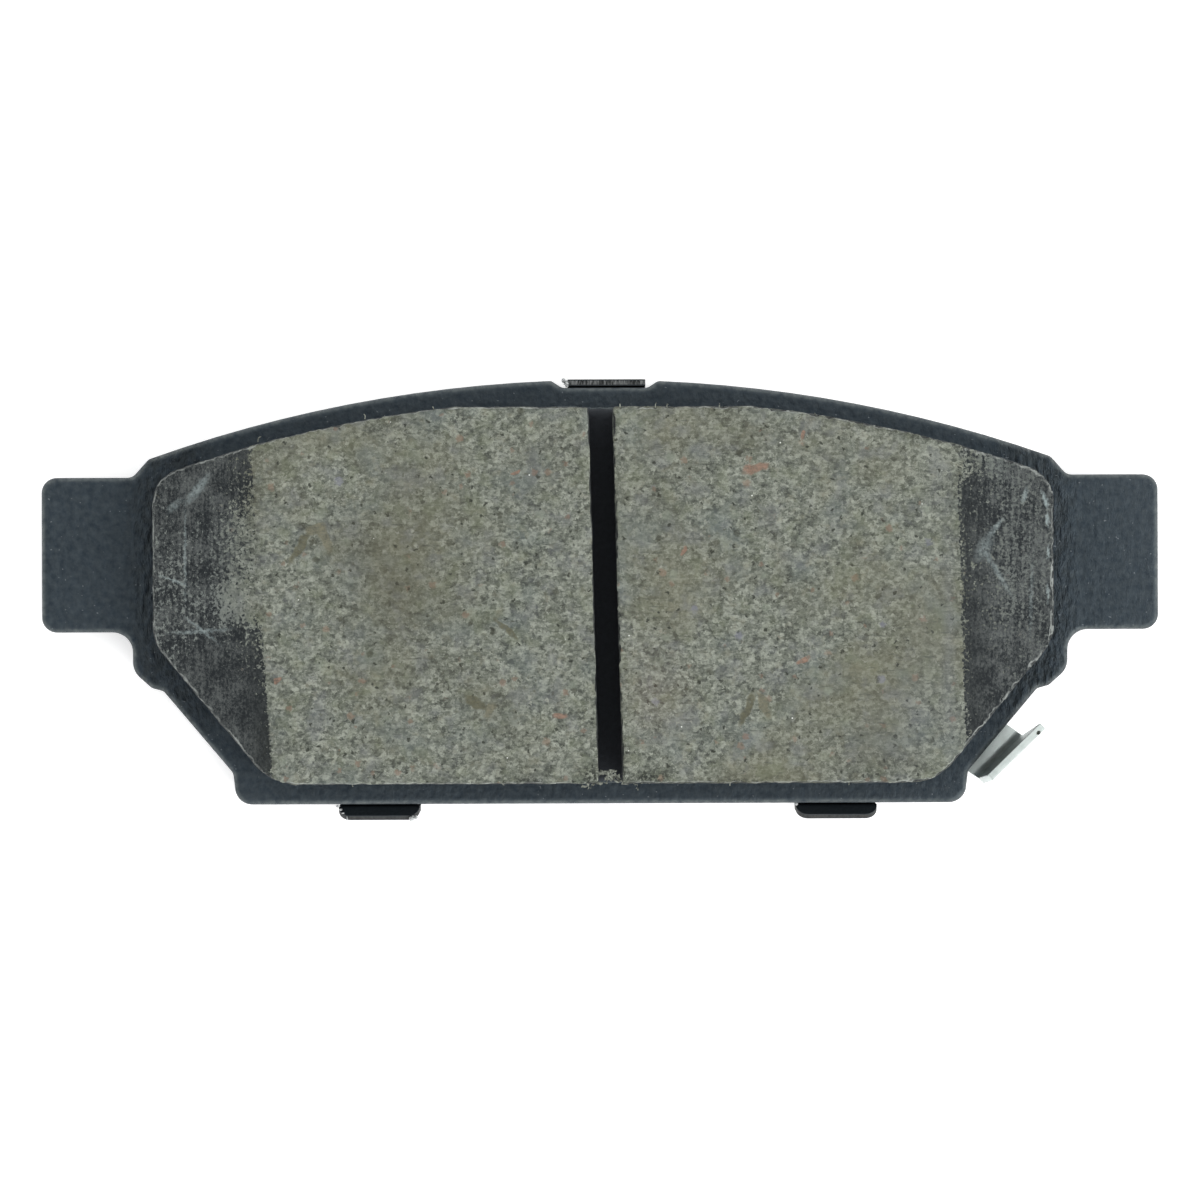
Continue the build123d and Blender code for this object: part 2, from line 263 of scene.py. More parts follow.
def clear_selection():
    """Nothing selected."""
    bpy.ops.object.select_all(action="DESELECT")


def copy_node(node, name):
    """A copy of a CAD node's surface, with its loose triangles joined."""
    clear_selection()
    cad = frame["nodes"][node]
    cad.select_set(True)
    bpy.context.view_layer.objects.active = cad
    bpy.ops.object.duplicate()
    piece = bpy.context.view_layer.objects.active
    piece.name = name
    piece.data.name = name
    piece.parent = None
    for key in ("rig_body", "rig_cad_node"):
        if key in piece:
            del piece[key]
    piece.data.materials.clear()
    bpy.ops.object.mode_set(mode="EDIT")
    bpy.ops.mesh.select_all(action="SELECT")
    bpy.ops.mesh.remove_doubles(threshold=1e-6)
    bpy.ops.object.mode_set(mode="OBJECT")
    return piece


def apply_modifier(piece, kind, **settings):
    """Adds one modifier to a piece and applies it."""
    bpy.context.view_layer.objects.active = piece
    modifier = piece.modifiers.new(kind.lower(), kind)
    for key, value in settings.items():
        setattr(modifier, key, value)
    bpy.ops.object.modifier_apply(modifier=modifier.name)


def give(piece, material, slot, *nodes):
    """A finished piece gets its material and its body, and the nodes that it stands for are hidden;
    the slot is not used.
    """
    piece.data.materials.clear()
    piece.data.materials.append(material)
    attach(piece, "root")
    if nodes:
        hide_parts(*nodes)


def roughen(piece, size, depth, group="", stages=3, contrast=1.0, level=0.5):
    """Moves a piece's surface in and out by up to half of depth, in lumps of that size in mm."""
    lumps = bpy.data.textures.new("lumps", type="CLOUDS")
    lumps.noise_scale = size / 1000
    lumps.noise_depth = stages
    lumps.contrast = contrast
    apply_modifier(
        piece,
        "DISPLACE",
        texture=lumps,
        texture_coords="LOCAL",
        strength=depth / 1000,
        mid_level=level,
        vertex_group=group,
    )


def group_by_facing(piece, name, low, high):
    """A vertex group of the points whose normals have a height between low and high."""
    facing = np.zeros(len(piece.data.vertices) * 3)
    piece.data.vertex_normals.foreach_get("vector", facing)
    facing = facing[2::3]
    chosen = np.flatnonzero((facing > low) & (facing < high))
    piece.vertex_groups.new(name=name).add(chosen.tolist(), 1.0, "REPLACE")


def spots(material, place, cell, radius, share, shift):
    """1 inside round spots: one in each cell of that size, in that share of the cells."""
    moved = add(
        material,
        "ShaderNodeMapping",
        {"Vector": place, "Location": (shift,) * 3, "Scale": (1 / cell,) * 3},
    )
    inputs = {"Vector": moved, "Scale": 1.0}
    cells = add(material, "ShaderNodeTexVoronoi", inputs, output="Distance")
    pick = add(material, "ShaderNodeSeparateColor", {0: cells.node.outputs["Color"]})
    inside = ease(material, cells, radius / cell, 0.6 * radius / cell)
    return times(material, inside, reckon(material, "LESS_THAN", pick, share))


def patch(material, place, centre, length, width, angle=0.0, blur=0.25):
    """1 inside a long patch that lies flat at a centre, turned by an angle in degrees."""
    any_height = 1000.0
    moved = add(
        material,
        "ShaderNodeMapping",
        {
            "Vector": place,
            "Location": (*centre, 0),
            "Rotation": (0, 0, math.radians(angle)),
            "Scale": (length / 2, width / 2, any_height),
        },
        vector_type="TEXTURE",
    )
    reach = add(material, "ShaderNodeVectorMath", {0: moved}, output="Value", operation="LENGTH")
    return ease(material, reach, 1 + blur, 1 - blur)


def shifted(material, place, size, amount, shift):
    """Places moved about at random by up to amount millimetres, so that grains come out ragged."""
    moved = add(material, "ShaderNodeVectorMath", {0: place, 1: (shift,) * 3}, operation="ADD")
    wander = add(
        material,
        "ShaderNodeTexNoise",
        {"Vector": moved, "Scale": 1 / size, "Detail": 2.0},
        output="Color",
    )
    wander = add(material, "ShaderNodeVectorMath", {0: wander, 1: (0.5,) * 3}, operation="SUBTRACT")
    inputs = {0: wander, "Scale": 2 * amount}
    wander = add(material, "ShaderNodeVectorMath", inputs, operation="SCALE")
    return add(material, "ShaderNodeVectorMath", {0: place, 1: wander}, operation="ADD")


def aggregate(material, place, size, shift):
    """A random number from 0 to 1 for each grain of about that size."""
    moved = add(
        material,
        "ShaderNodeMapping",
        {"Vector": place, "Location": (shift,) * 3, "Scale": (1 / size,) * 3},
    )
    cells = add(material, "ShaderNodeTexVoronoi", {"Vector": moved, "Scale": 1.0}, output="Color")
    return add(material, "ShaderNodeSeparateColor", {0: cells})


def measure(material, place, along):
    """How far each place lies along a direction."""
    inputs = {0: place, 1: along}
    return add(
        material, "ShaderNodeVectorMath", inputs, output="Value", operation="DOT_PRODUCT"
    )


def compound(
    side, ramp_foot, ramp_tilt, dulled, skin_cover, skin_zones, scuffs, inclusions, stains, dark_patches
):
    """Friction compound with its grains, stains and darker patches, and a scuffed skin on its ramp.
    """
    material, place = start_material("friction_compound_" + side, specular=0.2)
    ragged = shifted(material, place, 0.32, 0.32, 0.0)
    loose = shifted(material, place, 1.2, 0.5, 50.0)
    fine = grain(material, place, 0.36, detail=5.0, roughness=0.8, stretch=(1.35, 1, 1))
    middling = grain(material, place, 1.5, detail=4.0, roughness=0.65, shift=5.0)
    clouds = grain(material, place, 13.0, detail=3.0, shift=11.0)
    drift = grain(material, place, 5.0, detail=3.0, shift=23.0)
    streaks = grain(material, place, 0.26, detail=3.0, stretch=(6, 1, 1), shift=2.0)
    tone = 0.0
    for layer, share in (
        (fine, 0.60),
        (middling, 0.16),
        (aggregate(material, ragged, 0.33, 3.0), 0.15),
        (aggregate(material, ragged, 0.75, 9.0), 0.09),
    ):
        tone = plus(material, times(material, layer, share), tone)

    hue = grain(material, place, 2.6, detail=3.0, roughness=0.6, shift=77.0)
    dark = (0.044, 0.049, 0.041)
    ground = (0.130, 0.142, 0.117)
    light = (0.265, 0.282, 0.240)
    colour = blend(material, ease(material, tone, 0.37, 0.5), dark, ground)
    colour = blend(material, ease(material, tone, 0.5, 0.64), colour, light)
    for mask, low, high, share, tint in (
        (clouds, 0.48, 0.68, 0.50, (0.120, 0.116, 0.074)),
        (drift, 0.52, 0.72, 0.45, (0.118, 0.142, 0.140)),
        (hue, 0.54, 0.66, 0.30, (0.134, 0.150, 0.094)),
        (hue, 0.46, 0.34, 0.36, (0.130, 0.138, 0.144)),
        (middling, 0.56, 0.72, 0.40, (0.150, 0.144, 0.100)),
        (streaks, 0.60, 0.72, 0.50, (0.045, 0.050, 0.044)),
    ):
        colour = tinge(material, colour, ease(material, mask, low, high), share, tint)
    black_grains = spots(material, ragged, 1.05, 0.20, 0.50, 61.0)
    large_pits = spots(material, ragged, 2.6, 0.42, 0.45, 53.0)
    pale_specks_and_glints = spots(material, place, 2.3, 0.085, 0.6, 71.0)
    for cell, radius, amount, shift, share, tint in (
        (2.7, 0.45, 0.30, 31.0, 0.55, (0.175, 0.120, 0.085)),
        (1.7, 0.30, 0.22, 37.0, 0.45, (0.165, 0.104, 0.074)),
        (3.4, 0.42, 0.30, 91.0, 0.55, (0.168, 0.108, 0.080)),
        (0.8, 0.17, 0.50, 83.0, 0.55, (0.060, 0.062, 0.045)),
        (3.1, 0.60, 0.35, 47.0, 0.45, (0.190, 0.215, 0.170)),
        (4.4, 0.50, 0.30, 43.0, 0.45, (0.180, 0.185, 0.235)),
        (1.4, 0.22, 0.35, 17.0, 0.55, (0.290, 0.300, 0.255)),
    ):
        mask = spots(material, ragged, cell, radius, amount, shift)
        colour = tinge(material, colour, mask, share, tint)
    colour = tinge(material, colour, black_grains, 0.85, (0.022, 0.025, 0.019))
    # Painted shade: the large pits are painted darker, for the shade inside them.
    colour = tinge(material, colour, large_pits, 0.55, (0.030, 0.031, 0.020))
    for centre, length, width, angle, share, tint in stains:
        mask = patch(material, loose, centre, length, width, angle, blur=0.9)
        colour = tinge(material, colour, mask, share, blend(material, 0.5, colour, tint))
    smooth = 0.0
    for centre, length, width, angle, tint in inclusions:
        mask = patch(material, loose, centre, length, width, angle, blur=0.2)
        mask = times(material, mask, ease(material, fine, 0.22, 0.52))
        mask = times(material, mask, 0.9)
        dull, bright = (tuple(share * part for part in tint) for share in (0.74, 1.22))
        fleck = blend(material, ease(material, fine, 0.38, 0.62), dull, bright)
        colour = blend(material, mask, colour, fleck)
        smooth = reckon(material, "MAXIMUM", mask, smooth)
    # Small pale specks, partly pale grains and partly painted glints.
    colour = blend(material, pale_specks_and_glints, colour, (0.62, 0.64, 0.60))

    outward = math.copysign(1.0, ramp_foot)
    across = (outward, outward * math.tan(math.radians(ramp_tilt)), 0.0)
    along = minus(material, measure(material, ragged, across), abs(ramp_foot))
    cover = 0.0
    for start, end, change in skin_cover:
        mask = ease(material, along, start, end)
        cover = plus(material, times(material, mask, change), cover)
    for centre, length, width, angle, change in skin_zones:
        mask = patch(material, loose, centre, length, width, angle, blur=0.5)
        cover = plus(material, times(material, mask, change), cover)
    strokes = grain(material, place, 0.35, detail=3.0, stretch=(1, 14, 14), shift=19.0)
    scars = grain(material, place, 0.34, detail=5.0, roughness=0.75, shift=29.0)
    swing = minus(material, strokes, 0.5)
    hidden = plus(material, times(material, cover, 0.26), 0.37)
    hidden = plus(material, hidden, times(material, swing, -0.20))
    skin = ease(material, minus(material, hidden, scars), -0.02, 0.02)
    skin = times(material, skin, ease(material, along, 0.0, 0.15))
    mottle = grain(
        material, place, 0.26, detail=4.0, roughness=0.85, stretch=(1, 1.5, 1), shift=41.0
    )
    worn = times(material, minus(material, hue, 0.5), 0.5)
    mottle = plus(material, mottle, worn)
    brushed = plus(material, mottle, times(material, swing, 0.25))
    jet = (0.009, 0.012, 0.014)
    rubbed_grey = (0.080, 0.088, 0.086)
    black = blend(material, ease(material, brushed, 0.42, 0.66), jet, rubbed_grey)
    fresh = times(material, ease(material, along, 3.4, 0.8), 0.6)
    black = blend(material, fresh, black, (0.011, 0.014, 0.015))
    dull = blend(material, 0.8, colour, dulled)
    bare = blend(material, ease(material, along, 0.5, 5.0), colour, dull)
    colour = blend(material, skin, bare, black)
    for centre, length, width, angle, strength in scuffs:
        mask = patch(material, ragged, centre, length, width, angle, blur=0.5)
        mask = times(material, mask, ease(material, scars, 0.36, 0.52))
        colour = tinge(material, colour, mask, strength, (0.230, 0.275, 0.275))

    # Darker patches along the blocks' edges; the one at the slot's foot is painted shade for the
    # pits in the left block's corner.
    for centre, length, width, angle, share in dark_patches:
        mask = patch(material, loose, centre, length, width, angle, blur=0.7)
        mask = times(material, mask, ease(material, scars, 0.54, 0.47))
        colour = tinge(material, colour, mask, share, (0.022, 0.025, 0.021))

    facing = upward(material)
    flank = ease(material, facing, 0.6, 0.3)
    sooty = ease(material, scars, 0.4, 0.65)
    soot = blend(material, sooty, (0.016, 0.019, 0.021), (0.050, 0.054, 0.052))
    colour = blend(material, flank, colour, soot)
    rim = band(material, facing, 0.60, 0.80, 0.10)
    rim = times(material, rim, ease(material, middling, 0.40, 0.58))
    off_slot = add(material, "ShaderNodeVectorMath", {0: place}, operation="ABSOLUTE")
    off_slot = add(material, "ShaderNodeSeparateXYZ", {0: off_slot}, output="X")
    rim = times(material, rim, ease(material, off_slot, 2.6, 4.0))
    colour = tinge(material, colour, rim, 0.7, (0.290, 0.310, 0.295))

    roughness = add(material, "ShaderNodeMapRange", {0: fine, 1: 0.3, 2: 0.7, 3: 0.60, 4: 0.9})
    relief = minus(material, fine, times(material, black_grains, 0.5))
    relief = minus(material, relief, times(material, large_pits, 0.8))
    grooves = ease(material, streaks, 0.58, 0.72)
    relief = minus(material, relief, times(material, grooves, 0.4))
    relief = times(material, relief, minus(material, 1.0, smooth))
    return finish_material(material, colour, roughness, relief, 0.09)


olive = (0.080, 0.078, 0.050)
pale_olive = (0.118, 0.114, 0.080)
copper = (0.190, 0.122, 0.090)
umber = (0.062, 0.058, 0.036)
slate = (0.110, 0.122, 0.128)
ramp_length = {"left": 10.8, "right": 9.3}
compound_left = compound(
    "left",
    ramp_foot=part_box("friction_block_left")[0].x * 1000 + ramp_length["left"],
    ramp_tilt=3.4,
    dulled=(0.140, 0.157, 0.150),
    skin_cover=[(-0.1, 0.25, 0.48), (0.2, 1.3, 0.22), (1.3, 5.0, 0.22)],
    skin_zones=[
        ((-36.5, 12.5), 19.0, 8.0, 15, 0.14),
        ((-34.3, 4.0), 5.5, 11.0, 0, -0.36),
        ((-35.6, -0.2), 7.0, 3.6, 0, -0.34),
        ((-41.6, 0.0), 5.0, 14.0, 0, -0.22),
        ((-33.5, -12.5), 15.0, 10.0, -50, 0.42),
    ],
    scuffs=[
        ((-38.9, 10.9), 3.0, 0.75, 50, 0.55),
        ((-41.2, 9.3), 1.6, 0.7, 40, 0.40),
        ((-40.2, 5.0), 8.5, 0.22, 90, 0.45),
        ((-41.3, 2.0), 2.6, 0.22, -20, 0.60),
        ((-38.6, -2.8), 3.8, 0.28, -38, 0.45),
        ((-38.8, -2.9), 5.0, 0.35, 4, 0.50),
    ],
    inclusions=[
        ((-28.95, 5.2), 3.7, 0.85, 58, olive),
        ((-26.55, 6.0), 2.9, 0.95, -70, pale_olive),
        ((-27.4, 7.0), 1.9, 0.9, 12, pale_olive),
        ((-9.2, -2.7), 3.0, 0.5, -40, olive),
        ((-12.0, -9.9), 2.4, 0.8, -35, olive),
        ((-10.7, -10.6), 1.9, 0.8, 60, pale_olive),
        ((-3.9, -11.3), 1.3, 0.6, -10, copper),
        ((-31.2, -7.6), 0.9, 0.5, 30, copper),
        ((-8.2, 12.4), 1.0, 0.4, 20, copper),
    ],
    stains=[
        ((-20.0, 1.5), 13.0, 8.0, -60, 0.75, umber),
        ((-24.5, 5.0), 6.0, 2.5, -20, 0.60, umber),
        ((-12.0, -9.0), 6.0, 3.5, -30, 0.45, umber),
        ((-18.0, 10.5), 5.0, 4.0, 0, 0.50, umber),
        ((-6.5, 13.5), 7.0, 5.0, 40, 0.35, umber),
        ((-28.7, 7.2), 0.8, 0.45, -20, 1.60, (0.010, 0.010, 0.008)),
    ],
    dark_patches=[
        ((-1.1, -17.0), 2.4, 2.2, 0, 0.95),
        ((-7.0, -17.4), 4.5, 1.0, 0, 0.85),
        ((-15.0, -17.6), 3.0, 0.7, 0, 0.60),
        ((-21.0, 16.7), 9.0, 1.0, 14, 0.50),
        ((-32.0, -14.5), 2.6, 6.0, 0, 0.50),
        ((-32.7, 10.0), 2.2, 9.0, 0, 0.30),
    ],
)
compound_right = compound(
    "right",
    ramp_foot=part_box("friction_block_right")[1].x * 1000 - ramp_length["right"],
    ramp_tilt=1.6,
    dulled=(0.088, 0.099, 0.096),
    skin_cover=[(-0.1, 0.3, 0.62), (0.3, 1.0, 0.30), (2.0, 4.5, -0.22), (7.5, 9.5, 0.12)],
    skin_zones=[
        ((36.3, 13.4), 5.0, 3.4, 0, -0.50),
        ((38.5, -8.0), 9.0, 8.0, 50, 0.20),
        ((39.6, 4.0), 2.0, 18.0, 0, -0.12),
    ],
    scuffs=[
        ((41.2, 10.0), 1.3, 0.42, 75, 0.60),
        ((38.3, 6.9), 1.8, 0.45, 52, 0.50),
        ((37.2, 5.0), 2.4, 1.20, 60, 0.35),
        ((38.4, 2.7), 4.8, 0.50, -59, 0.40),
        ((41.8, 0.0), 6.0, 0.30, 88, 0.30),
        ((43.2, 9.6), 1.6, 0.35, 110, 0.90),
        ((43.45, 7.6), 1.3, 0.30, 95, 0.90),
        ((43.5, 4.5), 1.2, 0.25, 90, 0.80),
        ((43.45, 0.5), 1.6, 0.25, 90, 0.70),
        ((40.0, -9.2), 2.6, 0.40, 50, 0.85),
        ((38.9, -10.8), 1.2, 0.35, 50, 0.90),
    ],
    inclusions=[
        ((14.2, -10.6), 3.6, 0.9, 68, olive),
        ((15.8, -10.2), 2.8, 0.8, -70, pale_olive),
        ((15.2, 12.7), 2.5, 0.9, 15, copper),
        ((19.8, -5.8), 1.3, 0.6, 25, copper),
        ((19.6, 15.9), 0.9, 0.5, 60, copper),
        ((8.0, 4.7), 0.9, 0.5, 60, copper),
    ],
    stains=[
        ((24.5, 1.0), 8.0, 4.0, 10, 0.50, (0.120, 0.112, 0.062)),
        ((14.5, 15.5), 5.0, 3.0, 0, 0.50, umber),
        ((6.0, 10.0), 6.0, 5.0, 40, 0.40, umber),
        ((17.5, 3.0), 1.2, 8.0, 12, 0.45, umber),
        ((30.5, -12.0), 8.0, 8.0, 20, 0.50, slate),
        ((31.8, -2.5), 4.0, 13.0, 0, 0.30, slate),
        ((33.7, -3.0), 0.9, 18.0, 0, 0.55, (0.215, 0.230, 0.232)),
        ((25.5, -14.5), 6.0, 4.0, 10, 0.60, (0.060, 0.058, 0.046)),
        ((5.5, -9.0), 5.0, 7.0, 20, 0.35, (0.170, 0.120, 0.085)),
    ],
    dark_patches=[
        ((4.6, -17.2), 4.2, 1.2, 5, 0.95),
        ((2.3, -15.9), 1.0, 3.0, 0, 0.50),
        ((14.0, -17.5), 6.0, 0.8, 0, 0.50),
        ((27.5, -16.2), 6.0, 2.2, 15, 0.45),
        ((26.0, 17.0), 12.0, 1.1, -14, 0.50),
        ((33.9, 2.0), 1.6, 22.0, 0, 0.30),
    ],
)
chipping = {"left": 0.20, "right": 0.42}
for side, material in (("left", compound_left), ("right", compound_right)):
    block = copy_node("friction_block_" + side, "ground_block_" + side)
    apply_modifier(block, "REMESH", mode="VOXEL", voxel_size=block_voxel, use_smooth_shade=True)
    group_by_facing(block, "face", 0.9, 1.1)
    group_by_facing(block, "rim", 0.15, 0.9)
    group_by_facing(block, "walls", -0.9, 0.5)
    roughen(block, 0.6, 0.045)
    roughen(block, 1.1, 0.10, group="face", contrast=2.5, level=0.9)
    roughen(block, 0.7, chipping[side], group="rim", contrast=1.6, level=0.75)
    roughen(block, 1.6, 0.22, group="walls", stages=4)
    give(block, material, "friction_compound", "friction_block_" + side)

# Moulding flash: the thin brittle skin of compound that squeezes out where the mould closes. It
# bridges the foot of the slot as a torn web with two longer curls, and a few burrs stand off the
# blocks' edges.
random.seed(11)
face_level = face_height * 1000
slot_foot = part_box("friction_block_left")[0].y * 1000
web_width = 6.6
web_reach = 2.8
web_middle = 1.5
web_rise = 0.27 * web_reach
web_level = face_level - 0.45
web_ridge = 0.125
web_above = 1.35
least_hang = 0.08
most_hang = 0.55
curls = [(-1.1, 0.9), (3.6, 0.8)]
burr_thickness = 0.10


def strand(points, thickness):
    """A thin ragged thread of compound through points in millimetres."""
    curve = bpy.data.curves.new("strand", "CURVE")
    curve.dimensions = "3D"
    curve.bevel_depth = thickness / 2000
    curve.bevel_resolution = 1
    curve.use_fill_caps = True
    spline = curve.splines.new("NURBS")
    spline.points.add(len(points) - 1)
    for point, place in zip(spline.points, points):
        point.co = (*(v / 1000 for v in place), 1.0)
        point.radius = random.uniform(0.6, 1.5)
    spline.use_endpoint_u = True
    spline.order_u = 3
    spline.resolution_u = 6
    thread = bpy.data.objects.new("strand", curve)
    bpy.context.collection.objects.link(thread)
    return thread


def join(pieces, name):
    """Curves and meshes made into one mesh of that name."""
    clear_selection()
    for piece in pieces:
        piece.select_set(True)
    bpy.context.view_layer.objects.active = pieces[0]
    bpy.ops.object.convert(target="MESH")
    bpy.ops.object.join()
    whole = bpy.context.view_layer.objects.active
    whole.name = name
    whole.data.name = name
    return whole


clear_selection()
bpy.ops.mesh.primitive_grid_add(x_subdivisions=132, y_subdivisions=56, size=1.0)
web = bpy.context.object
bpy.ops.object.mode_set(mode="EDIT")
bpy.ops.transform.resize(value=(web_width / 1000, web_reach / 1000, 1.0))
bpy.ops.transform.translate(
    value=(web_middle / 1000, (slot_foot + web_rise) / 1000, web_level / 1000)
)
bpy.ops.mesh.select_mode(type="FACE")
bpy.ops.mesh.select_all(action="DESELECT")
bpy.ops.object.mode_set(mode="OBJECT")
for face in web.data.polygons:
    place = face.center * 1000
    ridge = abs(noise.noise(place * 1.3) + 0.6 * noise.noise(place * 3.1))
    nearness = max(1 - abs(place.x - middle) / reach for middle, reach in curls)
    hang = max(least_hang, least_hang + most_hang * nearness)
    ragged = 0.25 * noise.noise(place * 2.3)
    below = slot_foot - place.y
    above = place.y - slot_foot - web_above
    face.select = ridge > web_ridge or below > hang + ragged * 0.5 or above > ragged * 2
bpy.ops.object.mode_set(mode="EDIT")
bpy.ops.mesh.delete(type="FACE")
bpy.ops.object.mode_set(mode="OBJECT")
apply_modifier(web, "SOLIDIFY", thickness=0.00016, offset=0.0)
roughen(web, 1.3, 0.8, stages=2)
threads = [web]
burrs = [
    (-22.6, 17.75, 70),
    (-16.0, 18.5, 100),
    (2.0, 18.7, 60),
    (5.4, 18.75, 95),
    (6.5, 18.7, 120),
    (11.6, 18.65, 80),
    (21.0, 17.6, 60),
    (-42.8, 10.2, 150),
    (43.4, 9.4, 30),
    (-33.0, 15.6, 95),
    (-9.5, -17.7, -80),
    (12.5, -17.75, -100),
    (24.0, -17.7, -70),
    (-24.0, -17.7, -110),
]
for x, y, angle in burrs:
    reach = random.uniform(0.2, 0.45)
    turn = math.radians(angle + random.uniform(-25, 25))
    bow = turn + random.uniform(-0.9, 0.9)
    level = face_level - 0.25 - max(0.0, abs(x) - 34) * 0.25
    points = [(x - 0.2 * math.cos(turn), y - 0.2 * math.sin(turn), level)]
    points += [(x + 0.5 * reach * math.cos(turn), y + 0.5 * reach * math.sin(turn), level + 0.1)]
    points += [(x + reach * math.cos(bow), y + reach * math.sin(bow), level)]
    threads.append(strand(points, burr_thickness))
flash = join(threads, "mould_flash")
roughen(flash, 0.3, 0.07)
material, place = start_material("flash_compound", specular=0.3)
dirt_and_painted_light = grain(material, place, 0.35, detail=4.0, roughness=0.7)
painted_light_and_shade = ease(material, dirt_and_painted_light, 0.40, 0.60)
# Painted highlight and shade: the flash is painted from near-black to pale at random, for the light
# and shade on its strands.
colour = blend(material, painted_light_and_shade, (0.022, 0.025, 0.020), (0.205, 0.218, 0.185))
flash_compound = finish_material(material, colour, ease(material, dirt_and_painted_light, -1.2, 1.2), dirt_and_painted_light, 0.05)
give(flash, flash_compound, "friction_compound")

# Underlayer: a softer black layer of compound, moulded between the plate and the friction
# blocks. It shows as the slot's floor and as a band round the lining's foot.
layer_voxel = 0.00034
material, place = start_material("underlayer_compound", specular=0.3)
dust = grain(material, place, 0.5, detail=4.0, roughness=0.65)
facing = upward(material)
dust_and_painted_light = ease(material, dust, 0.35, 0.7)
colour = blend(material, dust_and_painted_light, (0.008, 0.011, 0.015), (0.020, 0.024, 0.030))
dust_and_painted_light = ease(material, dust, 0.35, 0.65)
flank = blend(material, dust_and_painted_light, (0.010, 0.012, 0.013), (0.036, 0.039, 0.039))
colour = blend(material, ease(material, facing, 0.6, 0.3), colour, flank)
layer_compound = finish_material(material, colour, ease(material, dust, -0.8, 1.1), dust, 0.08)
layer = copy_node("underlayer", "moulded_underlayer")
apply_modifier(layer, "REMESH", mode="VOXEL", voxel_size=layer_voxel, use_smooth_shade=True)
group_by_facing(layer, "walls", -0.9, 0.5)
roughen(layer, 1.6, 0.26, group="walls", stages=4)
give(layer, layer_compound, "underlayer_compound", "underlayer")

# Bond film: resin that squeezes out from under the lining when it is pressed on, and is coated
# over with the plate, so that a low lumpy bead runs round the lining's foot.
bead_radius = 0.0003
longest_step = 0.0004
bead = copy_node("bond_film", "coated_bead")
bpy.ops.object.mode_set(mode="EDIT")
bpy.ops.mesh.select_mode(type="FACE")
bpy.ops.mesh.select_all(action="DESELECT")
bpy.ops.object.mode_set(mode="OBJECT")
for face in bead.data.polygons:
    face.select = face.normal.z > 0.9
bpy.ops.object.mode_set(mode="EDIT")
bpy.ops.mesh.region_to_loop()
bpy.ops.mesh.select_all(action="INVERT")
bpy.ops.mesh.delete(type="EDGE_FACE")
bpy.ops.mesh.select_mode(type="VERT")
bpy.ops.mesh.select_all(action="SELECT")
bpy.ops.mesh.delete_loose(use_edges=False)
bpy.ops.object.mode_set(mode="OBJECT")
for cut in range(8):
    bpy.ops.object.mode_set(mode="EDIT")
    bpy.ops.mesh.select_mode(type="EDGE")
    bpy.ops.mesh.select_all(action="DESELECT")
    bpy.ops.object.mode_set(mode="OBJECT")
    for edge in bead.data.edges:
        ends = [bead.data.vertices[i].co for i in edge.vertices]
        edge.select = (ends[0] - ends[1]).length > longest_step
    bpy.ops.object.mode_set(mode="EDIT")
    bpy.ops.mesh.subdivide(number_cuts=1)
    bpy.ops.object.mode_set(mode="OBJECT")
clear_selection()
bead.select_set(True)
bpy.context.view_layer.objects.active = bead
bpy.ops.object.convert(target="CURVE")
bead.data.bevel_depth = bead_radius
bead.data.bevel_resolution = 3
bpy.ops.object.convert(target="MESH")
bpy.ops.object.shade_smooth()
roughen(bead, 0.9, 0.35, stages=3)
roughen(bead, 3.5, 0.45, stages=1)
# The bead's coat is painted darker all over, as painted shade at the lining's foot.
give(bead, powder_coat(coarse_and_shade_share=0.6), "plate_powder_coat", "bond_film")

# Shim: a steel sheet between two black rubber coats, clipped over the plate by three bent tabs.
# The sheet shows only on its cut edges, which are sheared, a little stained, and brighter on the
# top tab.
material, place = start_material("shim_rubber", specular=0.35)
matt = grain(material, place, 0.22, detail=3.0, roughness=0.6)
handled = grain(material, place, 11.0, detail=5.0, roughness=0.6, shift=6.0)
scratches = grain(material, place, 0.3, detail=2.0, stretch=(30, 1, 1), shift=8.0)
grainy = ease(material, matt, 0.35, 0.7)
colour = blend(material, grainy, (0.0080, 0.0125, 0.0160), (0.0150, 0.0215, 0.0260))
colour = tinge(material, colour, ease(material, handled, 0.5, 0.75), 0.5, (0.028, 0.031, 0.033))
colour = tinge(material, colour, ease(material, scratches, 0.66, 0.74), 0.4, (0.06, 0.063, 0.065))
roughness = add(material, "ShaderNodeMapRange", {0: handled, 1: 0.3, 2: 0.7, 3: 0.72, 4: 0.5})
rubber = finish_material(material, colour, roughness, matt, 0.03)
material, place = start_material("shim_cut_edge", metallic=0.5)
shear = grain(material, place, 0.2, detail=3.0, stretch=(1, 5, 5))
stain = grain(material, place, 1.4, detail=3.0, shift=3.0)
sheared = ease(material, shear, 0.35, 0.65)
colour = blend(material, sheared, (0.008, 0.010, 0.010), (0.040, 0.043, 0.043))
colour = tinge(material, colour, ease(material, stain, 0.5, 0.65), 0.3, (0.050, 0.044, 0.038))
sheared = ease(material, shear, 0.42, 0.60)
bright = blend(material, sheared, (0.014, 0.016, 0.016), (0.190, 0.198, 0.198))
top_tab = add(material, "ShaderNodeSeparateXYZ", {0: place}, output="Y")
colour = blend(material, ease(material, top_tab, 0.0, 1.0), colour, bright)
cut_edge = finish_material(material, colour, ease(material, shear, -0.8, 1.4), shear, 0.04)
shim_finishes = {
    "shim_rubber_inner": rubber,
    "shim_rubber_outer": rubber,
    "shim_sheet": cut_edge,
}
for node, material in shim_finishes.items():
    frame["nodes"][node].data.materials.clear()
    frame["nodes"][node].data.materials.append(material)

